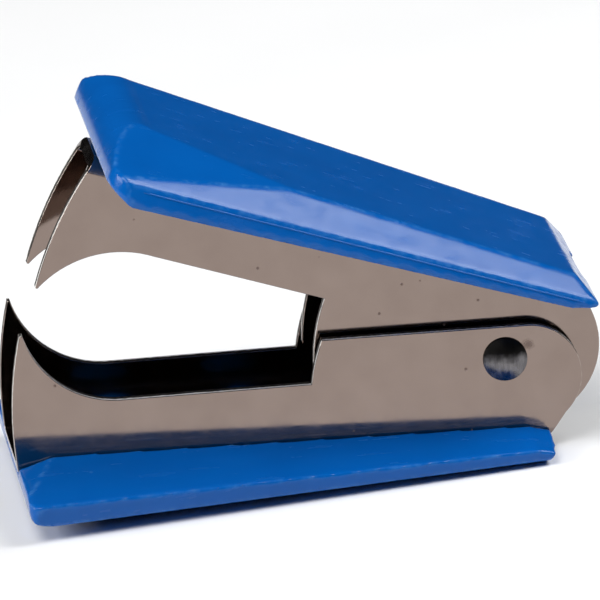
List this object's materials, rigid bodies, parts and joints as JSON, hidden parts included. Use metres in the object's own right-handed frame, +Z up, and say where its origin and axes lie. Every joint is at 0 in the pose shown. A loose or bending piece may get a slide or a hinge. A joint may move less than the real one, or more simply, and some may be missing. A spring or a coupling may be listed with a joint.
{
  "type": "staple remover",
  "caption": "Claw-type staple remover: pressed-steel jaws with paired claws in moulded plastic grips, hinged on one rivet and sprung open.",
  "frame": {"origin": "middle of the bottom of the bounding box, on the lower grip's flat outer face", "axes": "+X from the claws to the pivot, +Y along the pivot rivet, +Z up, square to the lower grip's flat outer face"},
  "size_m": [0.0574, 0.0348, 0.037],
  "materials": {
    "jaw_steel": "semi-gloss plated sheet steel",
    "grip_plastic": "gloss, moulded",
    "rivet_steel": "dark plated steel",
    "spring_steel": "drawn wire"
  },
  "bodies": {
    "lower": {"lower_jaw": "jaw_steel", "lower_grip": "grip_plastic", "pivot_rivet": "rivet_steel", "torsion_spring": "spring_steel"},
    "upper": {"upper_jaw": "jaw_steel", "upper_grip": "grip_plastic"}
  },
  "joints": [
    {"name": "jaw_hinge", "type": "hinge", "parent": "lower", "child": "upper", "pos_m": [0.01924, 0, 0.0096], "axis": [0, -1, 0], "range_deg": [0, 20], "stiffness_Nm_per_rad": 0.075, "springref_deg": -68.75, "deforming": ["torsion_spring"]}
  ]
}
